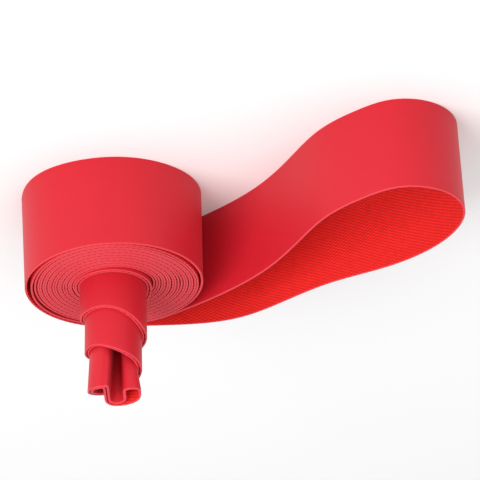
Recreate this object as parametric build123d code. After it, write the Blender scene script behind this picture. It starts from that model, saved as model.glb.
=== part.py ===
from build123d import *
import math
import os

# An endless bicycle rim strip (the flat band that lies in the well of a rim, under the inner tube),
# pressed flat to two plies and rolled up from one fold. The other fold is left as a free loop, and
# the middle of the roll is drawn out upwards into a stepped core.
#
# Millimetres. The roll's axis is vertical and the band stands on its lower edge, at Z = 0. While the
# band is laid out, the axis is the Z axis, the free loop reaches towards -X and swings towards -Y.
# The turns run clockwise on their way inwards, seen from above. At the end the whole strip is moved
# so that the middle of its outline's box lies on the Z axis.

# ---- driving dimensions -------------------------------------------------------------------------

strip_width = 18.0          # the band's width, so the height of every ply
ply_thickness = 0.44        # one thickness of the band
roll_diameter = 33.9        # over the outermost ply
core_diameter = 13.8        # over the first turn of the drawn-out core
roll_gap = 0.070            # the least room between one ply and the next in the roll
core_gap = 0.050            # the room between one ply and the next in the drawn-out core

core_quarters = 10          # quarter turns drawn out between the roll and the tip
first_half_turn_rise = 6.8  # how far the core climbs in its first half turn
core_turn_rise = 7.4        # how far it climbs in each full turn after that
tip_rise = 0.7              # how much higher the tip stands than the core's last quarter turn
span_gap = 0.05             # slit between two lengths of the band that slide on each other

loop_reach = 64.0           # from the roll's axis to the far end of the free loop
loop_swing = 31.0           # how far the free loop swings to the side
lobe_radius = 1.0           # the bend of the tip's lobe, on the middle line of its two plies
groove_width = 1.8          # the groove between the tip's lobe and the eye of the inner fold
groove_depth = 2.75         # how far the groove's bottom lies from the axis, towards +Y
eye_back_radius = 3.0       # the round back of the eye
tip_clearance = 0.2         # room between the eye and the turns around it
eye_slack = 0.02            # the share of its room that the eye's round front leaves free

# ---- what follows from them ---------------------------------------------------------------------

roll_radius = roll_diameter / 2
wall = roll_radius - core_diameter / 2        # how thick the roll is from outside to inside
part_turn = 0.75                              # the core starts a quarter turn short of a full one
least_pitch = 2 * (ply_thickness + roll_gap)  # a turn is two plies
roll_turns = math.floor(wall / least_pitch - part_turn) + part_turn
roll_pitch = wall / roll_turns
core_pitch = 2 * (ply_thickness + core_gap)
roll_quarters = round(4 * roll_turns)
double_ply = 2 * ply_thickness + core_gap

parts = {}


# ---- how a turn is laid out ---------------------------------------------------------------------
# Each half turn is a half circle. The half circles on the +X side share one centre, those on the
# -X side another half a pitch below it, so every gap between plies is the same all the way round.

def pitch(quarter):
    """Two plies and their gaps, in the roll or in the core."""
    return core_pitch if quarter >= roll_quarters else roll_pitch


def half_centre(quarter):
    """The Y of the centre of a quarter turn, which is above the axis on the +X side."""
    on_right = (quarter // 2) % 2 == 0
    return pitch(quarter) / 4 if on_right else -pitch(quarter) / 4


def outer_radius(quarter):
    """The radius of the outer ply's outer face in a quarter turn counted inwards from the loop."""
    roll_halves = min(quarter // 2, roll_quarters // 2)
    core_halves = quarter // 2 - roll_halves
    return roll_radius - roll_pitch / 4 - (roll_halves * roll_pitch + core_halves * core_pitch) / 2


def ply_step(quarter):
    """From the outer ply to the inner one: in the roll's last part turn as close as in the core."""
    in_part_turn = quarter >= 4 * math.floor(roll_turns)
    return core_pitch / 2 if in_part_turn else roll_pitch / 2


def quarter_section(quarter, ply, trim=0.0):
    """The plan outline of one quarter turn of the outer (0) or inner (1) ply."""
    outside = outer_radius(quarter) - ply * ply_step(quarter)
    inside = outside - ply_thickness
    centre = (0, half_centre(quarter))
    start = 90 - 90 * quarter
    margin = math.degrees(trim / outside)
    with BuildSketch() as section:
        with BuildLine():
            outer = CenterArc(centre, outside, start - margin, -(90 - 2 * margin))
            inner = CenterArc(centre, inside, start - margin, -(90 - 2 * margin))
            Line(outer @ 0, inner @ 0)
            Line(outer @ 1, inner @ 1)
        make_face()
    return section.sketch


def upright(section, bottom=0.0, height=strip_width):
    """A plan outline raised to the band's full width."""
    return extrude(Pos(0, 0, bottom) * section, amount=height, dir=(0, 0, 1))


# ---- the roll: each turn is an outer and an inner ply -------------------------------------------

turn_count = math.ceil(roll_quarters / 4)
for turn in range(turn_count):
    quarters = range(4 * turn, min(4 * turn + 4, roll_quarters))
    for ply, name in enumerate(("outer", "inner")):
        pieces = [upright(quarter_section(quarter, ply)) for quarter in quarters]
        solid = pieces[0]
        for piece in pieces[1:]:
            solid = solid + piece
        parts[f"turn_{turn + 1:02d}_{name}_ply"] = solid.clean()


# ---- the core: quarter turns, each on a slope, climbing towards the tip ---------------------------

def rise(quarters):
    """How high the band stands after a number of quarter turns of the core."""
    steep = min(quarters, 2)
    return first_half_turn_rise * steep / 2 + core_turn_rise * (quarters - steep) / 4


def sloped(section, quarter, low, high):
    """A quarter turn whose lower and upper edges climb from low to high along its chord."""
    middle = math.radians(45 - 90 * quarter)
    along = (math.sin(middle), -math.cos(middle))
    reach = outer_radius(quarter) * math.sin(math.radians(45))
    slope = math.atan2(high - low, 2 * reach)
    centre = Vector(0, half_centre(quarter), (low + high) / 2)
    across = Vector(math.cos(middle), math.sin(middle), 0)
    uphill = Vector(along[0] * math.cos(slope), along[1] * math.cos(slope), math.sin(slope))
    normal = uphill.cross(across)
    if normal.Z < 0:
        normal = -normal
    size = 4 * roll_diameter
    block = upright(section, low - strip_width, 3 * strip_width + high - low)
    below = Plane(origin=centre, x_dir=across, z_dir=normal)
    above = Plane(origin=centre + Vector(0, 0, strip_width), x_dir=across, z_dir=normal)
    block = block - below * Pos(0, 0, -size / 2) * Box(size, size, size)
    return block - above * Pos(0, 0, size / 2) * Box(size, size, size)


for span in range(core_quarters):
    quarter = roll_quarters + span
    for ply, name in enumerate(("outer", "inner")):
        section = quarter_section(quarter, ply, trim=span_gap / 2)
        node = f"core_{span + 1:02d}_{name}_ply"
        parts[node] = sloped(section, quarter, rise(span), rise(span + 1))


# ---- bands that follow a free curve --------------------------------------------------------------

side_points = 48            # points that a line beside a free curve is drawn through


def side_line(path, offset, first, last, count):
    """A curve beside a path, to the left of its direction, between two places along it."""
    points = []
    for i in range(count + 1):
        place = first + (last - first) * i / count
        at, along = path @ place, path % place
        points.append((at.X - along.Y * offset, at.Y + along.X * offset))
    start, end = path % first, path % last
    return Spline(*points, tangents=[(start.X, start.Y), (end.X, end.Y)])


def band(path, middle=0.0, first=0.0, last=1.0, count=side_points):
    """The plan outline of one ply whose middle runs beside a path."""
    left = side_line(path, middle + ply_thickness / 2, first, last, count)
    right = side_line(path, middle - ply_thickness / 2, first, last, count)
    edges = [left, Line(left @ 1, right @ 1), right, Line(right @ 0, left @ 0)]
    return make_face(edges)


# ---- the free loop -------------------------------------------------------------------------------
# Its outer ply runs on from the roll's outermost ply, and its inner ply comes back onto the roll,
# lies on it for a short way and runs on as the outermost turn's inner ply.

back_start = Vector(0, roll_radius - ply_thickness / 2)
lying_centre = Vector(0, -roll_pitch / 4)
lying_radius = roll_radius - roll_pitch / 4 - ply_thickness / 2


def loop_point(along, across):
    """A place on the loop: along runs from the roll's side to the loop's end, across is the swing."""
    return (-roll_radius - along * (loop_reach - roll_radius), across * loop_swing)


nearest = Vector(*loop_point(0.035, 0.215))
to_nearest = nearest - lying_centre
leaving = math.atan2(to_nearest.Y, to_nearest.X) - math.acos(lying_radius / to_nearest.length)
leaving_point = lying_centre + Vector(math.cos(leaving), math.sin(leaving)) * lying_radius

loop_points = [
    (back_start.X, back_start.Y),
    loop_point(0.118, 0.514),
    loop_point(0.266, 0.369),
    loop_point(0.482, 0.123),
    loop_point(0.694, -0.035),
    loop_point(0.850, -0.195),
    loop_point(0.965, -0.430),
    loop_point(0.996, -0.660),
    loop_point(0.950, -0.835),
    loop_point(0.835, -0.962),
    loop_point(0.735, -0.988),
    loop_point(0.620, -0.920),
    loop_point(0.482, -0.733),
    loop_point(0.360, -0.420),
    loop_point(0.225, -0.080),
    (nearest.X, nearest.Y),
    (leaving_point.X, leaving_point.Y),
]
landing = (math.sin(leaving), -math.cos(leaving))
loop_path = Spline(*loop_points, tangents=[(-1, 0), landing])
bend_start, bend_end = 0.42, 0.62              # shares of the loop's length

parts["loop_outer_run"] = upright(band(loop_path, last=bend_start))
parts["loop_end_bend"] = upright(band(loop_path, first=bend_start, last=bend_end))
parts["loop_inner_run"] = upright(band(loop_path, first=bend_end))
with BuildSketch() as lap:
    with BuildLine():
        lap_centre = (lying_centre.X, lying_centre.Y)
        lap_turn = math.degrees(leaving) - 90
        far = CenterArc(lap_centre, lying_radius + ply_thickness / 2, 90, lap_turn)
        near = CenterArc(lap_centre, lying_radius - ply_thickness / 2, 90, lap_turn)
        Line(far @ 0, near @ 0)
        Line(far @ 1, near @ 1)
    make_face()
parts["loop_inner_lap"] = upright(lap.sketch)

# ---- the tip: lobe, groove and the open eye of the inner fold ------------------------------------
# The two plies leave the last quarter turn, double back round the lobe, run along the groove's wall
# and turn round its bottom. There they part, and the single ply goes round the eye and returns.

tip_bottom = rise(core_quarters) + tip_rise
last_quarter = roll_quarters + core_quarters - 1
tip_radius = outer_radius(last_quarter) - double_ply / 2
ply_offset = core_pitch / 4
groove_radius = groove_width / 2 + double_ply / 2
lobe_reach = tip_radius - lobe_radius
lobe_start = math.degrees(math.acos((groove_radius + lobe_radius) / lobe_reach))

with BuildLine() as tip_line:
    centre = (0, half_centre(last_quarter))
    along_turn = CenterArc(centre, tip_radius, 0, -lobe_start)
    around_lobe = JernArc(along_turn @ 1, along_turn % 1, lobe_radius, lobe_start - 180)
    wall_end = Vector(groove_radius, groove_depth - groove_radius)
    along_wall = Line(around_lobe @ 1, wall_end)
    JernArc(along_wall @ 1, along_wall % 1, groove_radius, 90)
tip_path = tip_line.wire()
slit = span_gap / tip_path.length
parts["tip_outer_ply"] = upright(band(tip_path, ply_offset, slit), tip_bottom)
parts["tip_inner_ply"] = upright(band(tip_path, -ply_offset, slit), tip_bottom)

beside = last_quarter - 1                     # the quarter turn that the eye lies against
room = outer_radius(beside) - double_ply - tip_clearance
eye_side = groove_radius - ply_offset
eye_radius = (1 - eye_slack) * (room - eye_side - ply_thickness / 2) / 2
out_of_line = math.sqrt((room - eye_radius - ply_thickness / 2) ** 2 - (eye_side + eye_radius) ** 2)
eye_front = half_centre(beside) - out_of_line
eye_far = eye_side + 2 * eye_radius
eye_back = groove_depth + ply_offset

with BuildLine() as eye_line:
    from_groove = JernArc((0, groove_depth - ply_offset), (-1, 0), eye_side, 90)
    inner_side = Line(from_groove @ 1, (-eye_side, eye_front))
    round_front = JernArc(inner_side @ 1, (0, -1), eye_radius, -180)
    outer_side = Line(round_front @ 1, (-eye_far, eye_back - eye_back_radius))
    round_back = JernArc(outer_side @ 1, (0, 1), eye_back_radius, -90)
    Line(round_back @ 1, (0, eye_back))
parts["inner_fold"] = upright(band(eye_line.wire(), count=2 * side_points), tip_bottom)

# ---- the frame: the middle of the outline's box, at the height of the lower edges -----------------

box = Compound(children=[part.solids()[0] for part in parts.values()]).bounding_box()
middle = Pos(-(box.min.X + box.max.X) / 2, -(box.min.Y + box.max.Y) / 2, 0)

os.makedirs("parts", exist_ok=True)
for name, part in parts.items():
    export_step(middle * part.solids()[0], f"parts/{name}.step")
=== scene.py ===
import math

import bpy
import numpy as np
from bpy.props import FloatProperty, FloatVectorProperty, PointerProperty
from mathutils import Matrix, Vector


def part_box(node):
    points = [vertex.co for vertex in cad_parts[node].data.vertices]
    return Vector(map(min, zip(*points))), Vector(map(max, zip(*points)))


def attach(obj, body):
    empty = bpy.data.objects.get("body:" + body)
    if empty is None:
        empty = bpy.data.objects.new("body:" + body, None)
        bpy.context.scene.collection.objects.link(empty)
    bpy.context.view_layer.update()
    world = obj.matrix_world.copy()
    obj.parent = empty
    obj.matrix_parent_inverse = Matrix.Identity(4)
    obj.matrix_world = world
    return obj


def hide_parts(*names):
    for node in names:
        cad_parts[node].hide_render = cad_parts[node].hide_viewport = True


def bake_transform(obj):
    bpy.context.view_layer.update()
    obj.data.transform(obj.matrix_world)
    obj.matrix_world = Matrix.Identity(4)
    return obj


bl_info = {
    "name": "Rolled rim strip",
    "version": (1, 0, 0),
    "blender": (4, 5, 0),
    "location": "3D Viewport > Sidebar > Rim strip",
    "description": "Builds a rolled endless rim strip with a free loop and a drawn-out core",
    "category": "Add Mesh",
}

# An endless rim strip, pressed flat to two plies and rolled up from one of its two folds. The other
# fold is a free loop. The band has a smooth face, which is outside when the strip is pressed flat,
# and a netted face, which is inside. It is laid out here as one closed line in plan, in metres,
# with the roll's axis at the origin. The line runs outwards along the outer ply, round the free
# loop and inwards along the inner ply, so the netted face is on its left all the way. A winding is
# an angle round the axis, clockwise seen from above, from where the outer ply leaves the roll on
# the +Y side.

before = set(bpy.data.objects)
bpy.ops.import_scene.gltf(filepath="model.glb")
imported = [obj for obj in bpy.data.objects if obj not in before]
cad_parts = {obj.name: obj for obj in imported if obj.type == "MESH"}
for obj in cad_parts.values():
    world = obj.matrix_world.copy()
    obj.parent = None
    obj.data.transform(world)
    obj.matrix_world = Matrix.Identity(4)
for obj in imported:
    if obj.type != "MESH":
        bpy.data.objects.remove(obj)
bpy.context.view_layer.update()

MM = 0.001
TURN = 2 * math.pi


# ---- sizes read from the frame -------------------------------------------------------------------

def side(node, axis, end):
    """One coordinate of a frame node's box: end 0 is its lowest, end 1 its highest."""
    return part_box(node)[end]["xyz".index(axis)]


turn_nodes = sorted(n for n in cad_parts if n.startswith("turn_") and n.endswith("outer_ply"))
core_nodes = sorted(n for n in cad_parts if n.startswith("core_") and n.endswith("outer_ply"))

STRIP_WIDTH = side("turn_01_outer_ply", "z", 1)
ROLL_PITCH = side("turn_01_outer_ply", "x", 1) - side("turn_02_outer_ply", "x", 1)
CORE_PITCH = side("core_08_outer_ply", "x", 0) - side("core_04_outer_ply", "x", 0)
ROLL_RADIUS = (side("turn_01_outer_ply", "y", 1) - side("turn_01_outer_ply", "y", 0)
               + ROLL_PITCH / 2) / 2
AXIS_X = side("turn_01_outer_ply", "x", 1) - ROLL_RADIUS + ROLL_PITCH / 4
AXIS_Y = side("turn_01_outer_ply", "y", 1) - ROLL_RADIUS
LOOP_REACH = AXIS_X - side("loop_end_bend", "x", 0)
LOOP_SWING = AXIS_Y - side("loop_inner_run", "y", 0)
ROLL_END = TURN * (len(turn_nodes) - 0.25)
CORE_SPAN = TURN / 4
CORE_END = ROLL_END + CORE_SPAN * len(core_nodes)
CORE_RADIUS = ROLL_RADIUS - ROLL_PITCH * ROLL_END / TURN


# ---- what a user can change ----------------------------------------------------------------------

class StripSizes(bpy.types.PropertyGroup):
    """Sizes of the band."""
    thickness: FloatProperty(name="Ply thickness", description="One thickness of the band",
                             default=0.44 * MM, unit="LENGTH", precision=5)
    edge_round: FloatProperty(name="Edge rounding", description="Radius of the rounded slit edges",
                              default=0.10 * MM, unit="LENGTH", precision=5)
    mesh_length: FloatProperty(name="Mesh length", description="A mesh of the net, along the band",
                               default=1.11 * MM, unit="LENGTH", precision=5)
    mesh_width: FloatProperty(name="Mesh width", description="A mesh of the net, across the band",
                              default=0.64 * MM, unit="LENGTH", precision=5)
    net_depth: FloatProperty(name="Net depth", description="How deep the net's hollows are",
                             default=0.13 * MM, unit="LENGTH", precision=5)
    groove_width: FloatProperty(name="Groove width", description="The groove beside the tip's lobe",
                                default=1.8 * MM, unit="LENGTH", precision=5)
    lobe_radius: FloatProperty(name="Lobe radius", description="The bend of the tip's lobe",
                               default=0.80 * MM, unit="LENGTH", precision=5)


class StripColours(bpy.types.PropertyGroup):
    """Colours of the band's faces."""
    smooth: FloatVectorProperty(name="Smooth face", description="Colour of the smooth outer face",
                                default=(0.54, 0.009, 0.021), size=3, subtype="COLOR", min=0, max=1)
    net: FloatVectorProperty(name="Netted face", description="Colour of the netted inner face",
                             default=(0.84, 0.020, 0.017), size=3, subtype="COLOR", min=0, max=1)
    edge: FloatVectorProperty(name="Slit edge", description="Colour of the slit edges",
                              default=(0.72, 0.044, 0.064), size=3, subtype="COLOR", min=0, max=1)


class StudioSettings(bpy.types.PropertyGroup):
    """The camera and the lights."""
    elevation: FloatProperty(name="Elevation", description="Height of the camera above the horizon",
                             default=math.radians(28.41), subtype="ANGLE")
    roll: FloatProperty(name="Roll", description="Turn of the camera about its own line of sight",
                        default=math.radians(176.69), subtype="ANGLE")
    distance: FloatProperty(name="Distance", description="From the camera to the point it looks at",
                            default=0.6116, unit="LENGTH")
    lens: FloatProperty(name="Lens", description="Focal length in millimetres", default=247.2)
    key_power: FloatProperty(name="Key light", description="Power of the soft light, in watts",
                             default=3.6)


# ---- plan lines ----------------------------------------------------------------------------------

SPLINE_SAMPLES = 120            # between two of a spline's given points
RUN_STEP = 0.04 * MM            # the longest step of a run of straight lengths and arcs


def spline_through(points, first_heading, last_heading):
    """A close row of points on a smooth line through a few given ones, with its end headings."""
    points = np.array(points, float)
    chords = np.linalg.norm(np.diff(points, axis=0), axis=1)
    count = len(points)
    system, right = np.zeros((count, count)), np.zeros((count, 2))
    system[0, 0] = system[-1, -1] = 1
    right[0], right[-1] = first_heading, last_heading
    for i in range(1, count - 1):
        before, after = chords[i - 1], chords[i]
        system[i, i - 1:i + 2] = after, 2 * (before + after), before
        right[i] = 3 * (after * (points[i] - points[i - 1]) / before
                        + before * (points[i + 1] - points[i]) / after)
    slopes = np.linalg.solve(system, right)
    fine = []
    for i, chord in enumerate(chords):
        u = np.linspace(0, 1, SPLINE_SAMPLES, endpoint=i == count - 2)[:, None]
        fine.append((2 * u**3 - 3 * u**2 + 1) * points[i] + (3 * u**2 - 2 * u**3) * points[i + 1]
                    + chord * ((u**3 - 2 * u**2 + u) * slopes[i] + (u**3 - u**2) * slopes[i + 1]))
    return np.vstack(fine)


def run(start, heading, moves):
    """A plan line of straight lengths and arcs. Each move is its radius (0 if straight) and its
    turn in radians, to the left if positive, or its length."""
    at, points = np.array(start, float), [np.array(start, float)]
    for radius, amount in moves:
        length = abs(radius * amount) if radius else amount
        pieces = max(1, math.ceil(length / RUN_STEP))
        turn = amount / pieces if radius else 0.0
        for _ in range(pieces):
            heading += turn / 2
            at = at + length / pieces * np.array([math.cos(heading), math.sin(heading)])
            heading += turn / 2
            points.append(at)
    return np.array(points)


def headings(points):
    """Unit directions along a plan line."""
    along = np.gradient(points, axis=0)
    return along / np.linalg.norm(along, axis=1)[:, None]


def to_left(along):
    """Unit directions to the left of others."""
    return np.stack([-along[:, 1], along[:, 0]], 1)


def spiral(windings, radii):
    """Plan points at some windings and radii."""
    angles = TURN / 4 - windings
    return np.stack([radii * np.cos(angles), radii * np.sin(angles)], 1)


# ---- how the plies are wound ---------------------------------------------------------------------
# The plies of the roll lie close, but not evenly. A looser place is a number of turns inwards, how
# much more room there is, in millimetres, and over how much of a turn it fades to either side.
# BASE_SPREAD is in the same form: where, in each turn, the lower edge stands outwards, and how far.

BETWEEN_PLIES = [(0.06, 0.34, 0.05), (0.28, 0.62, 0.10), (0.66, 0.66, 0.10), (1.25, 0.09, 0.12),
                 (5.80, 0.06, 0.05), (8.20, 0.10, 0.04)]
BETWEEN_TURNS = [(0.14, 0.62, 0.09), (0.28, 0.14, 0.10), (0.60, 0.22, 0.08), (3.75, 0.14, 0.05),
                 (4.28, 0.05, 0.06), (6.25, 0.08, 0.03), (8.26, 0.14, 0.03), (8.70, 0.12, 0.05)]
BASE_SPREAD = [(0.36, 0.98, 0.078), (0.71, 0.80, 0.085)]
SPREAD_DEPTH = 2.0              # turns inwards over which the spread falls to a third
SAMPLES_PER_TURN = 720


def looser(windings, places):
    """The extra room at some windings."""
    room = np.zeros_like(windings)
    for turns, amount, fade in places:
        room += amount * MM * np.exp(-((windings / TURN - turns) / fade) ** 2)
    return room


def ply_radii(sizes):
    """Windings from the loop to the tip, and there the radii of the outer and inner ply."""
    last = round((CORE_END + TURN) / TURN * SAMPLES_PER_TURN)
    windings = np.arange(last + 1) * TURN / SAMPLES_PER_TURN
    one = SAMPLES_PER_TURN
    end = round(ROLL_END / TURN * one)
    extra = looser(windings, BETWEEN_PLIES) + looser(windings, BETWEEN_TURNS)
    taken = np.zeros(last + 1)
    for i in range(one, end + 1):
        taken[i] = taken[i - one] + extra[i - one]
    # what the loose places take is given back turn by turn, so that the roll still ends at the core
    given_back = np.array([taken[end - one + (i - end) % one] for i in range(end + 1)])
    outer = ROLL_RADIUS - sizes.thickness / 2 - ROLL_PITCH * windings / TURN
    outer[:end + 1] += given_back * windings[:end + 1] / ROLL_END - taken[:end + 1]
    core = windings > ROLL_END
    core_turns = (windings[core] - ROLL_END) / TURN
    outer[core] = CORE_RADIUS - sizes.thickness / 2 - CORE_PITCH * core_turns
    room = outer[:-one] - outer[one:] - 2 * sizes.thickness
    windings, outer = windings[:-one], outer[:-one]
    skew = looser(windings, BETWEEN_PLIES) - looser(windings, BETWEEN_TURNS)
    inner = outer - sizes.thickness - (room + skew) / 2
    return windings, outer, inner


# ---- how the core climbs and leans ---------------------------------------------------------------
# The roll's last turn is already lifted a little. Each place is a number of turns after the roll
# and the band's rise there, in millimetres.

CLIMB = [(-1.10, 0.0), (-0.75, 0.0), (-0.50, 0.2), (-0.25, 0.5), (0.00, 0.9), (0.25, 3.8),
         (0.46, 6.7), (0.56, 7.0), (0.68, 7.0), (0.76, 7.5), (0.84, 8.8), (0.94, 10.6),
         (1.25, 12.7), (1.47, 13.8), (1.64, 13.9), (1.74, 15.2), (1.83, 16.2), (1.96, 17.2),
         (2.25, 19.6), (2.50, 21.6), (2.62, 22.1)]
EASING = 0.04                   # turns over which a change of slope is eased, to either side
EASING_SAMPLES = 17
LEAN = 1.05 * MM                # how far the top of the tip leans towards +X
LEAN_FROM = 2.0                 # turns before the core from which the band leans more and more
LEAN_BELOW = 0.35               # the share of the lean at the band's lower edge
FLARE = 0.075                   # how much wider the tip opens at its top
FLARE_FROM = 1.25               # turns before the core's end from which the band flares
TIP_TILT = 0.28                 # how steeply the tip's edges climb towards +Y
TIP_EASE = 0.25                 # turns past the core's end over which the tip takes its own shape
GROOVE_NARROW = 0.30 * MM       # how far the groove's walls stand inwards below
GROOVE_OPEN = 0.30 * MM         # how far they stand outwards at the top
GROOVE_BEND = 1.0 * MM          # the distance from the groove's middle over which that fades in
LOBE_PRESS = 0.80 * MM          # how far the lobe's front is pressed back at the top
EYE_OPEN = 0.75 * MM            # how far the eye's round wall stands outwards at the top

# where each of these starts and where it is full: as shares of the band's height, or in plan
GROOVE_HEIGHTS = LOBE_HEIGHTS = (0.6, 1.0)
EYE_HEIGHTS = (0.45, 0.95)
LOBE_FRONT_Y = (-0.6 * MM, -3.0 * MM)
LOBE_INNER_X = (0.9 * MM, 1.7 * MM)
LOBE_OUTER_X = (6.4 * MM, 3.0 * MM)
EYE_WALL_X = (-1.6 * MM, -4.0 * MM)


def climb(windings):
    """The height of the band's lower edge at some windings."""
    turns, rises = np.array(CLIMB).T
    share = (windings - ROLL_END) / TURN
    shifts = np.linspace(-EASING, EASING, EASING_SAMPLES)
    return np.mean([np.interp(share + shift, turns, rises) for shift in shifts], axis=0) * MM


def eased(values, start, full):
    """From 0 at the start to 1 where it is full, without a corner at either end."""
    share = np.clip((values - start) / (full - start), 0, 1)
    return share * share * (3 - 2 * share)


def leaning(windings):
    """How much of the lean a place takes, from none in the roll to all of it in the tip."""
    started = ROLL_END - LEAN_FROM * TURN
    return np.clip((windings - started) / (CORE_END - started), 0, 1) ** 2


# ---- the whole band as one closed line -----------------------------------------------------------

def loop_point(along, across):
    """A place on the loop: along is from the roll to the loop's end, across is its swing."""
    return (-ROLL_RADIUS - along * (LOOP_REACH - ROLL_RADIUS), across * LOOP_SWING)


LOOP_PLACES = [(0.118, 0.514), (0.266, 0.369), (0.482, 0.123), (0.694, -0.035), (0.850, -0.207),
               (0.962, -0.448), (0.993, -0.678), (0.950, -0.868), (0.835, -0.998), (0.735, -1.008),
               (0.620, -0.920), (0.482, -0.733), (0.360, -0.420), (0.225, -0.080), (0.035, 0.215)]
LANDING = -0.092 * TURN         # the winding where the loop comes back onto the roll
GROOVE_SHIFT = -0.35 * MM       # where the groove's middle lies, from the axis
GROOVE_DEPTH = 2.75 * MM        # how far the groove's bottom lies from the axis, towards +Y
EYE_BACK_RADIUS = 2.6 * MM      # the round back of the eye
EYE_ROOM = 0.12 * MM            # between the eye and the turn round it
EYE_SHARE = 0.97                # how much of the width left to it the eye takes


def tip_lines(sizes, start_radius):
    """The tip's two plies and its eye, in the band's own direction: outer ply, inner ply, eye."""
    ply_gap = CORE_PITCH / 2
    double_ply = sizes.thickness + ply_gap
    groove_radius = sizes.groove_width / 2 + double_ply / 2
    slope = math.atan2(CORE_PITCH, TURN * start_radius)
    reach = start_radius - sizes.lobe_radius
    round_turn = math.acos((GROOVE_SHIFT + groove_radius + sizes.lobe_radius) / reach)
    round_lobe = math.pi - round_turn - slope
    to_lobe = run((start_radius, 0), -TURN / 4 - slope, [(start_radius, -round_turn)])
    past_lobe = run(to_lobe[-1], -TURN / 4 - slope - round_turn, [(sizes.lobe_radius, -round_lobe)])
    wall = GROOVE_DEPTH - groove_radius - past_lobe[-1][1]
    groove = run(past_lobe[-1], TURN / 4, [(0, wall), (groove_radius, TURN / 4)])
    middle = np.vstack([to_lobe, past_lobe[1:], groove[1:]])
    left = to_left(headings(middle)) * ply_gap / 2
    outer, inner = (middle + left)[::-1], middle - left

    eye_side = groove_radius - ply_gap / 2
    room = start_radius - double_ply / 2 - EYE_ROOM
    eye_radius = EYE_SHARE * (room + GROOVE_SHIFT - eye_side) / 2
    out_of_line = math.sqrt((room - eye_radius) ** 2 - (eye_side + eye_radius - GROOVE_SHIFT) ** 2)
    top = GROOVE_DEPTH + ply_gap / 2
    eye = run((middle[-1][0], top), TURN / 2,
              [(0, eye_side + 2 * eye_radius - EYE_BACK_RADIUS), (EYE_BACK_RADIUS, TURN / 4),
               (0, top - EYE_BACK_RADIUS + out_of_line), (eye_radius, TURN / 2)])
    up = GROOVE_DEPTH - ply_gap / 2 - eye_side - eye[-1][1]
    back_again = run(eye[-1], TURN / 4, [(0, up), (eye_side, -TURN / 4)])
    return outer, inner, np.vstack([eye, back_again[1:]])


STEPS_PER_MESH = 4


class Band:
    """The closed line of the band in even steps: places, directions, windings and lower edges."""

    def __init__(self, sizes):
        windings, outer, inner = ply_radii(sizes)
        last = np.searchsorted(windings, CORE_END - 1e-6)
        start_radius = (outer[last] + inner[last]) / 2
        tip_outer, tip_inner, eye = tip_lines(sizes, start_radius)
        landing = np.arange(round(LANDING / TURN * SAMPLES_PER_TURN), 0) * TURN / SAMPLES_PER_TURN
        lap = spiral(landing, inner[0] - ROLL_PITCH * landing / TURN)
        outer_line = spiral(windings[last::-1], outer[last::-1])
        inner_line = spiral(windings[:last + 1], inner[:last + 1])
        loop = spline_through([outer_line[-1], *(loop_point(*at) for at in LOOP_PLACES), lap[0]],
                              (-1, 0), (math.cos(LANDING), -math.sin(LANDING)))
        wound = np.linspace(CORE_END, CORE_END + TURN / 2, len(tip_inner))
        pieces = [(tip_outer, wound[::-1]), (outer_line, windings[last::-1]),
                  (loop, np.linspace(0, LANDING, len(loop))), (lap, landing),
                  (inner_line, windings[:last + 1]), (tip_inner, wound),
                  (eye, np.full(len(eye), wound[-1]))]
        line = np.vstack([points[:-1] for points, _ in pieces] + [tip_outer[:1]])
        wound = np.concatenate([wound[:-1] for _, wound in pieces] + [wound[-1:]])
        along = np.concatenate([[0], np.cumsum(np.linalg.norm(np.diff(line, axis=0), axis=1))])
        # a whole number of meshes, so that the net closes on itself
        count = STEPS_PER_MESH * round(along[-1] / sizes.mesh_length)
        self.step = along[-1] / count
        self.count = count
        steps = np.arange(count) * self.step
        self.places = np.stack([np.interp(steps, along, line[:, k]) for k in (0, 1)], 1)
        directions = np.roll(self.places, -1, axis=0) - np.roll(self.places, 1, axis=0)
        self.directions = directions / np.linalg.norm(directions, axis=1)[:, None]
        self.windings = np.interp(steps, along, wound)
        tip_full = CORE_END + TIP_EASE * TURN
        self.in_tip = eased(self.windings, CORE_END, tip_full)
        towards_back = np.clip(self.places[:, 1] + EYE_ROOM, 0, None)
        self.low = climb(self.windings) + TIP_TILT * towards_back * self.in_tip
        self.lean = LEAN * leaning(self.windings)
        self.flare = FLARE * eased(self.windings, CORE_END - FLARE_FROM * TURN, tip_full)
        # beside the axis a place has next to no radius to divide by
        radii = np.maximum(np.linalg.norm(self.places, axis=1), CORE_RADIUS / 2)
        depth = np.exp(-self.windings / TURN / SPREAD_DEPTH)
        self.spread = looser(self.windings % TURN, BASE_SPREAD) * depth / radii

    def outer_at(self, winding):
        """The step at which the outer ply, on its way out, reaches a winding."""
        return int(np.argmax(self.windings <= winding))

    def inner_at(self, winding):
        """The step at which the inner ply, on its way in, reaches a winding."""
        half = int(np.argmin(self.windings))
        return half + int(np.argmax(self.windings[half:] >= winding))


# ---- lengths of band as closed meshes ------------------------------------------------------------

SMOOTH, NET, EDGE = 0, 1, 2
EDGE_SUPPORT = 0.5 * MM         # from the edge's rounding to the next row of corners
CORNER_NET = 0.6                # how much of the net's depth the rounded corners beside it take


def net_rows(sizes):
    """How many meshes of the net there are across the band."""
    return round((STRIP_WIDTH - 2 * sizes.edge_round) / sizes.mesh_width)


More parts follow.
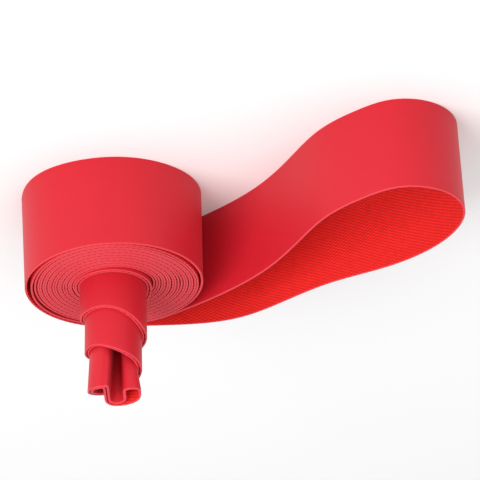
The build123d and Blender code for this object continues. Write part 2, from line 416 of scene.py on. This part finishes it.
def cross_section(sizes, netted):
    """The outline of the band's section, from its lower right corner anticlockwise seen along it:
    offsets to the left, heights, whether the net is there, and the face that starts there."""
    half, r, tall = sizes.thickness / 2, sizes.edge_round, STRIP_WIDTH
    corner, support = r * (1 - math.sqrt(0.5)), r + EDGE_SUPPORT
    outline = [(-half, z, 0, SMOOTH) for z in (r, support, tall / 2, tall - support)]
    outline += [(-half, tall - r, 0, EDGE), (-half + corner, tall - corner, 0, EDGE),
                (-half + r, tall, 0, EDGE), (half - r, tall, 0, EDGE),
                (half - corner, tall - corner, CORNER_NET, EDGE)]
    rows = 2 * net_rows(sizes)
    used = range(rows, -1, -1) if netted else (rows, rows - 1, rows - 2, 2, 1, 0)
    outline += [(half, r + (tall - 2 * r) * row / rows, 1, NET) for row in used]
    outline[-1] = outline[-1][:3] + (EDGE,)
    outline += [(half - corner, corner, CORNER_NET, EDGE), (half - r, 0, 0, EDGE),
                (-half + r, 0, 0, EDGE), (-half + corner, corner, 0, EDGE)]
    return (np.array(values, float) for values in zip(*outline))


def bent(band, at, xy, heights):
    """Plan places of the band as the roll's base spreads and the core flares, opens and leans."""
    share = heights / STRIP_WIDTH
    flare, spread, in_tip, lean = (values[at][:, None] for values in
                                   (band.flare, band.spread, band.in_tip, band.lean))
    xy = xy * (1 + flare * share ** 2 + spread * (1 - share))[:, :, None]
    x, y = xy[:, :, 0], xy[:, :, 1]
    opening = (GROOVE_OPEN + GROOVE_NARROW) * eased(share, *GROOVE_HEIGHTS) - GROOVE_NARROW
    x = x + opening * in_tip * np.tanh((x - GROOVE_SHIFT) / GROOVE_BEND)
    lobe = eased(y, *LOBE_FRONT_Y) * eased(x, *LOBE_INNER_X) * eased(x, *LOBE_OUTER_X)
    y = y + LOBE_PRESS * eased(share, *LOBE_HEIGHTS) * in_tip * lobe
    x = x - EYE_OPEN * eased(share, *EYE_HEIGHTS) * in_tip * eased(x, *EYE_WALL_X)
    x = x + lean * (LEAN_BELOW + (1 - LEAN_BELOW) * share ** 2)
    return np.stack([x, y], 2)


def shell(band, first, last, sizes, netted):
    """Vertices, faces, materials and run of one closed length of the band."""
    offsets, heights, net_share, kinds = cross_section(sizes, netted)
    steps = np.arange(first, last + 1)
    at = steps % band.count
    left = to_left(band.directions[at])
    tall = STRIP_WIDTH - 2 * sizes.edge_round
    up = (heights - sizes.edge_round) / tall * net_rows(sizes)
    knots = np.cos(TURN * steps / STEPS_PER_MESH)[:, None] * np.cos(TURN * up)
    across = offsets - net_share * sizes.net_depth * (1 - knots) / 2
    xy = band.places[at][:, None, :] + left[:, None, :] * across[:, :, None]
    z = band.low[at][:, None] + heights
    vertices = np.concatenate([bent(band, at, xy, heights), z[:, :, None]], 2)
    vertices = vertices.reshape(-1, 3) + np.array([AXIS_X, AXIS_Y, 0])
    ring = len(offsets)
    row, k = np.meshgrid(np.arange(len(steps) - 1), np.arange(ring), indexing="ij")
    following = (k + 1) % ring
    quads = np.stack([row * ring + k, (row + 1) * ring + k, (row + 1) * ring + following,
                      row * ring + following], 2).reshape(-1, 4)
    end = len(vertices) - 1
    ends = [list(range(ring)), list(range(end, end - ring, -1))]
    materials = np.concatenate([np.tile(kinds, len(steps) - 1), [EDGE, EDGE]])
    run_along = steps[:, None] * sizes.mesh_length / STEPS_PER_MESH
    runs = np.stack(np.broadcast_arrays(run_along, heights), 2).reshape(-1, 2)
    return vertices, quads.tolist() + ends, materials, runs


def band_piece(name, shells, materials):
    """One object of one or more closed lengths of band, with its run along the band as UVs."""
    vertices, faces, kinds, runs = [], [], [], []
    for points, polygons, marked, shell_runs in shells:
        first = sum(len(part) for part in vertices)
        vertices.append(points)
        faces += [[first + corner for corner in polygon] for polygon in polygons]
        kinds.append(marked)
        runs.append(shell_runs)
    mesh = bpy.data.meshes.new(name)
    mesh.from_pydata(np.vstack(vertices).tolist(), [], faces)
    for material in materials:
        mesh.materials.append(material)
    mesh.polygons.foreach_set("material_index", np.concatenate(kinds).astype(np.int32))
    corners = np.empty(len(mesh.loops), np.int32)
    mesh.loops.foreach_get("vertex_index", corners)
    uvs = mesh.uv_layers.new(name="run")
    uvs.data.foreach_set("uv", np.vstack(runs)[corners].astype(np.float32).ravel())
    mesh.shade_smooth()
    # each shell's two ends have sharp edges, so the smooth faces next to them keep their shading
    sharp = mesh.attributes.new("sharp_edge", "BOOLEAN", "EDGE")
    for after in np.cumsum([len(polygons) for _, polygons, _, _ in shells]):
        for end in mesh.polygons[int(after) - 2:int(after)]:
            for corner in end.loop_indices:
                sharp.data[mesh.loops[corner].edge_index].value = True
    mesh.update()
    piece = bpy.data.objects.new(name, mesh)
    bpy.context.scene.collection.objects.link(piece)
    return piece


# ---- materials -----------------------------------------------------------------------------------

class Nodes:
    """A material's nodes, made and joined in a few words."""

    def __init__(self, name):
        self.material = bpy.data.materials.get(name) or bpy.data.materials.new(name)
        self.material.use_nodes = True
        self.tree = self.material.node_tree
        self.tree.nodes.clear()

    def add(self, kind, inputs=(), **settings):
        """A node with its settings, and its inputs by name or number: values or others' outputs."""
        node = self.tree.nodes.new(kind)
        for key, value in settings.items():
            setattr(node, key, value)
        for key, value in dict(inputs).items():
            if isinstance(value, bpy.types.NodeSocket):
                self.tree.links.new(value, node.inputs[key])
            else:
                node.inputs[key].default_value = value
        return node

    def math(self, operation, *values):
        """The result of one sum."""
        return self.add("ShaderNodeMath", dict(enumerate(values)), operation=operation).outputs[0]

    def mixed(self, share, first, second):
        """One colour fading to another."""
        node = self.add("ShaderNodeMix", data_type="RGBA")
        for number, value in ((0, share), (6, first), (7, second)):
            socket = node.inputs[number]
            if isinstance(value, bpy.types.NodeSocket):
                self.tree.links.new(value, socket)
            else:
                socket.default_value = value
        return node.outputs[2]

    def run_along(self):
        """The place along the band and across it, in metres."""
        uv = self.add("ShaderNodeUVMap", uv_map="run")
        parts = self.add("ShaderNodeSeparateXYZ", {0: uv.outputs[0]})
        return parts.outputs[0], parts.outputs[1]

    def finish(self, shader):
        """The material, with its surface set."""
        self.add("ShaderNodeOutputMaterial", {"Surface": shader})
        return self.material


def shade(colour, factor):
    """A colour made lighter or darker."""
    return tuple(min(1.0, channel * factor) for channel in colour) + (1.0,)


def speckle(nodes, scale, detail):
    """Fine noise that keeps to the object."""
    place = nodes.add("ShaderNodeTexCoord").outputs["Object"]
    inputs = {"Vector": place, "Scale": scale, "Detail": detail}
    return nodes.add("ShaderNodeTexNoise", inputs).outputs[0]


def streaks(nodes, per_metre_along, per_metre_across, detail):
    """Noise drawn out along the band or across it."""
    along, across = nodes.run_along()
    place = nodes.add("ShaderNodeCombineXYZ", {0: nodes.math("MULTIPLY", along, per_metre_along),
                                               1: nodes.math("MULTIPLY", across, per_metre_across)})
    inputs = {"Vector": place.outputs[0], "Scale": 1.0, "Detail": detail}
    return nodes.add("ShaderNodeTexNoise", inputs).outputs[0]


def weighed(nodes, first, first_share, second, second_share):
    """Two values added in shares."""
    return nodes.math("ADD", nodes.math("MULTIPLY", first, first_share),
                      nodes.math("MULTIPLY", second, second_share))


RELIEF_HEIGHT = 0.03 * MM


def relief(nodes, height, strength):
    """A surface made very slightly uneven."""
    inputs = {"Strength": strength, "Distance": RELIEF_HEIGHT, "Height": height}
    return nodes.add("ShaderNodeBump", inputs).outputs[0]


def smooth_rubber(colours):
    """The smooth face: matt, with faint lengthwise drag marks from the calender."""
    nodes = Nodes("smooth_rubber")
    marks = streaks(nodes, per_metre_along=40.0, per_metre_across=1600.0, detail=3.0)
    blotch = speckle(nodes, scale=90.0, detail=2.0)
    grain = speckle(nodes, scale=5200.0, detail=2.0)
    tone = weighed(nodes, blotch, 0.6, marks, 0.4)
    rough = nodes.add("ShaderNodeMapRange", {"Value": grain, "To Min": 0.44, "To Max": 0.56})
    shader = nodes.add("ShaderNodeBsdfPrincipled", {
        "Base Color": nodes.mixed(tone, shade(colours.smooth, 0.94), shade(colours.smooth, 1.05)),
        "Normal": relief(nodes, nodes.math("MULTIPLY_ADD", marks, 0.5, grain), strength=0.16),
        "Roughness": rough.outputs[0], "Specular IOR Level": 0.28,
        "Sheen Weight": 0.02, "Sheen Roughness": 0.5})
    return nodes.finish(shader.outputs[0])


def netted_rubber(colours, sizes):
    """The netted face: painted highlight on its knots and painted shade in its hollows."""
    nodes = Nodes("netted_rubber")
    along, across = nodes.run_along()
    tall = STRIP_WIDTH - 2 * sizes.edge_round
    along_wave = nodes.math("COSINE", nodes.math("MULTIPLY", along, TURN / sizes.mesh_length))
    above = nodes.math("SUBTRACT", across, sizes.edge_round)
    across_wave = nodes.math("COSINE", nodes.math("MULTIPLY", above, TURN * net_rows(sizes) / tall))
    knots = nodes.math("MULTIPLY", along_wave, across_wave)
    share = nodes.add("ShaderNodeMapRange", {"Value": knots, "From Min": -1.0, "From Max": 1.0})
    # painted light: the knot pattern lightens the knots as a painted highlight and darkens the
    # hollows as painted shade, varied at random by a fine speckle
    knot_light_speckle = nodes.math("ADD", speckle(nodes, scale=900.0, detail=3.0), 0.5)
    painted_knot_light = nodes.math("MULTIPLY", share.outputs[0], knot_light_speckle)
    grain = speckle(nodes, scale=6000.0, detail=2.0)
    rough = nodes.add("ShaderNodeMapRange", {"Value": grain, "To Min": 0.6, "To Max": 0.75})
    shader = nodes.add("ShaderNodeBsdfPrincipled", {
        "Base Color": nodes.mixed(painted_knot_light, shade(colours.net, 0.62), shade(colours.net, 1.32)),
        "Normal": relief(nodes, nodes.math("MULTIPLY_ADD", knots, 0.7, grain), strength=0.3),
        "Roughness": rough.outputs[0], "Specular IOR Level": 0.25})
    return nodes.finish(shader.outputs[0])


def cut_rubber(colours):
    """The slit edges: paler, with the fine chatter of the blade."""
    nodes = Nodes("cut_rubber")
    chatter = streaks(nodes, per_metre_along=2500.0, per_metre_across=1.0, detail=2.0)
    blotch = speckle(nodes, scale=1500.0, detail=3.0)
    tone = weighed(nodes, chatter, 0.6, blotch, 0.4)
    shader = nodes.add("ShaderNodeBsdfPrincipled", {
        "Base Color": nodes.mixed(tone, shade(colours.edge, 0.82), shade(colours.edge, 1.12)),
        "Normal": relief(nodes, chatter, strength=0.25), "Roughness": 0.55,
        "Specular IOR Level": 0.4})
    return nodes.finish(shader.outputs[0])


DARKER_FLOOR, LIGHTER_FLOOR = (0.90, 0.90, 0.90, 1.0), (0.93, 0.93, 0.93, 1.0)


def pale_floor():
    """The studio's plain floor."""
    nodes = Nodes("pale_floor")
    tone = speckle(nodes, scale=3.0, detail=2.0)
    shader = nodes.add("ShaderNodeBsdfPrincipled", {
        "Base Color": nodes.mixed(tone, DARKER_FLOOR, LIGHTER_FLOOR),
        "Roughness": 0.9, "Specular IOR Level": 0.1})
    return nodes.finish(shader.outputs[0])


def band_materials(context):
    """The three faces' materials, in the order of SMOOTH, NET and EDGE."""
    sizes, colours = context.scene.strip_sizes, context.scene.strip_colours
    return [smooth_rubber(colours), netted_rubber(colours, sizes), cut_rubber(colours)]


# ---- operators -----------------------------------------------------------------------------------

def plies(turn_or_core, ply):
    """The names of the frame's nodes of the roll's or the core's outer or inner plies."""
    return sorted(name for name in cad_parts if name.startswith(turn_or_core) and ply in name)


class RIMSTRIP_OT_roll(bpy.types.Operator):
    """The two plies of the roll, down to the middle of the core's first quarter turn"""
    bl_idname = "rimstrip.roll"
    bl_label = "Roll"

    def execute(self, context):
        sizes, materials = context.scene.strip_sizes, band_materials(context)
        band = Band(sizes)
        core = ROLL_END + CORE_SPAN / 2
        lengths = (("outer", band.outer_at(core), band.outer_at(0), ["core_01_outer_ply"]),
                   ("inner", band.inner_at(0), band.inner_at(core), ["core_01_inner_ply"]))
        for ply, first, last, beyond in lengths:
            smooth_ply = shell(band, first, last, sizes, False)
            piece = band_piece(f"roll_{ply}_ply", [smooth_ply], materials)
            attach(piece, "roll")
            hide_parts(*plies("turn_", ply), *beyond)
        return {"FINISHED"}


class RIMSTRIP_OT_loop(bpy.types.Operator):
    """The free loop of a single ply, netted inside"""
    bl_idname = "rimstrip.loop"
    bl_label = "Free loop"

    def execute(self, context):
        sizes = context.scene.strip_sizes
        band = Band(sizes)
        first, last = band.outer_at(0), band.inner_at(0)
        loop = shell(band, first, last, sizes, True)
        piece = band_piece("free_loop", [loop], band_materials(context))
        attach(piece, "roll")
        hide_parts("loop_outer_run", "loop_end_bend", "loop_inner_run", "loop_inner_lap")
        return {"FINISHED"}


TIP_LAP = 0.12 * TURN           # how far past the core's last quarter turn the tip itself starts


class RIMSTRIP_OT_core(bpy.types.Operator):
    """The drawn-out core: quarter turns that bend as they slide on each other"""
    bl_idname = "rimstrip.core"
    bl_label = "Core"

    def execute(self, context):
        sizes, materials = context.scene.strip_sizes, band_materials(context)
        band = Band(sizes)
        bodies = ["roll"] + [f"core_{span:02d}" for span in range(2, len(core_nodes) + 1)] + ["tip"]
        for number, (body, following) in enumerate(zip(bodies, bodies[1:]), start=1):
            start = ROLL_END + (number - 0.5) * CORE_SPAN
            end = start + CORE_SPAN if following != "tip" else CORE_END + TIP_LAP
            outer = band.outer_at(end), band.outer_at(start)
            inner = band.inner_at(start), band.inner_at(end)
            shells = [shell(band, *outer, sizes, False), shell(band, *inner, sizes, False)]
            piece = band_piece(f"core_quarter_{number:02d}", shells, materials)
            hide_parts(*(f"{following}_{ply}_ply" for ply in ("outer", "inner")))
            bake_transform(piece)
        return {"FINISHED"}


class RIMSTRIP_OT_tip(bpy.types.Operator):
    """The tip: the lobe, the groove and the open eye of the inner fold"""
    bl_idname = "rimstrip.tip"
    bl_label = "Tip"

    def execute(self, context):
        sizes = context.scene.strip_sizes
        band = Band(sizes)
        end = CORE_END + TIP_LAP
        first, last = band.inner_at(end), band.count + band.outer_at(end)
        fold = shell(band, first, last, sizes, True)
        piece = band_piece("tip_fold", [fold], band_materials(context))
        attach(piece, "tip")
        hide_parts("inner_fold")
        return {"FINISHED"}


FLOOR_REACH = 3.0
ROOM_LIGHT = 0.73
KEY_SIZE, KEY_PLACE = 0.5, (0.40, -0.45, 0.40)
FILL_SIZE, FILL_PLACE = 0.6, (-0.25, -0.6, 0.45)
FILL_SHARE = 0.4                # the fill light's power, as a share of the key light's
AIM_X = 0.27 * MM               # the point that the camera looks at, with AXIS_Y
AIM_HEIGHT = 0.553              # its height, in strip widths
SEEN_TO = 10                    # metres from the camera


class RIMSTRIP_OT_stage(bpy.types.Operator):
    """The floor, the lights and the camera"""
    bl_idname = "rimstrip.stage"
    bl_label = "Stage"

    def execute(self, context):
        studio, scene = context.scene.rim_studio, context.scene
        mesh = bpy.data.meshes.new("floor")
        near, far = -FLOOR_REACH, FLOOR_REACH
        corners = [(near, near, 0), (far, near, 0), (far, far, 0), (near, far, 0)]
        mesh.from_pydata(corners, [], [(0, 1, 2, 3)])
        mesh.materials.append(pale_floor())
        floor = bpy.data.objects.new("floor", mesh)
        scene.collection.objects.link(floor)
        self.surroundings(scene)
        self.lamp(scene, "key_light", studio.key_power, KEY_SIZE, KEY_PLACE)
        self.lamp(scene, "fill_light", studio.key_power * FILL_SHARE, FILL_SIZE, FILL_PLACE)
        self.camera(scene, studio)
        scene.view_settings.view_transform = "Standard"
        return {"FINISHED"}

    @staticmethod
    def surroundings(scene):
        """A plain white room."""
        world = bpy.data.worlds.new("white_room")
        world.use_nodes = True
        background = world.node_tree.nodes["Background"]
        background.inputs["Color"].default_value = (1, 1, 1, 1)
        background.inputs["Strength"].default_value = ROOM_LIGHT
        scene.world = world

    @staticmethod
    def lamp(scene, name, power, size, place):
        """A large soft lamp that shines at the strip's middle."""
        light = bpy.data.lights.new(name, "AREA")
        light.energy, light.size = power, size
        lamp = bpy.data.objects.new(name, light)
        lamp.location = place
        aim = Vector((0, 0, STRIP_WIDTH / 2)) - lamp.location
        lamp.rotation_euler = aim.to_track_quat("-Z", "Y").to_euler()
        scene.collection.objects.link(lamp)

    @staticmethod
    def camera(scene, studio):
        """A camera turned nearly upside down, so that the core hangs below the roll."""
        down, turned = studio.elevation, studio.roll
        forward = Vector((0, math.cos(down), -math.sin(down)))
        upward = Vector((0, math.sin(down), math.cos(down)))
        right = Vector((1, 0, 0)) * math.cos(turned) + upward * math.sin(turned)
        up = upward * math.cos(turned) - Vector((1, 0, 0)) * math.sin(turned)
        aim = Vector((AIM_X, AXIS_Y, STRIP_WIDTH * AIM_HEIGHT))
        camera = bpy.data.objects.new("camera", bpy.data.cameras.new("camera"))
        camera.data.lens = studio.lens
        camera.data.clip_end = SEEN_TO
        place = Matrix([(*axis, 0) for axis in (right, up, -forward)] + [(0, 0, 0, 1)]).transposed()
        place.translation = aim - forward * studio.distance
        camera.matrix_world = place
        scene.collection.objects.link(camera)
        scene.camera = camera


# ---- the panel and the script --------------------------------------------------------------------

OPERATORS = (RIMSTRIP_OT_stage, RIMSTRIP_OT_roll, RIMSTRIP_OT_loop, RIMSTRIP_OT_core,
             RIMSTRIP_OT_tip)


class RIMSTRIP_PT_panel(bpy.types.Panel):
    """The band's sizes and colours, and a button for each of its pieces"""
    bl_idname = "RIMSTRIP_PT_panel"
    bl_label = "Rim strip"
    bl_space_type = "VIEW_3D"
    bl_region_type = "UI"
    bl_category = "Rim strip"

    def draw(self, context):
        layout = self.layout
        scene = context.scene
        for group in (scene.strip_sizes, scene.strip_colours, scene.rim_studio):
            for field in group.__annotations__:
                layout.prop(group, field)
        for operator in OPERATORS:
            layout.operator(operator.bl_idname)


CLASSES = (StripSizes, StripColours, StudioSettings, *OPERATORS, RIMSTRIP_PT_panel)


def register():
    for item in CLASSES:
        bpy.utils.register_class(item)
    bpy.types.Scene.strip_sizes = PointerProperty(type=StripSizes)
    bpy.types.Scene.strip_colours = PointerProperty(type=StripColours)
    bpy.types.Scene.rim_studio = PointerProperty(type=StudioSettings)


def unregister():
    del bpy.types.Scene.rim_studio, bpy.types.Scene.strip_colours, bpy.types.Scene.strip_sizes
    for item in reversed(CLASSES):
        bpy.utils.unregister_class(item)


def main():
    """Build the strip and its stage."""
    register()
    for operator in OPERATORS:
        getattr(bpy.ops.rimstrip, operator.bl_idname.split(".")[1])()


if __name__ == "__main__":
    main()
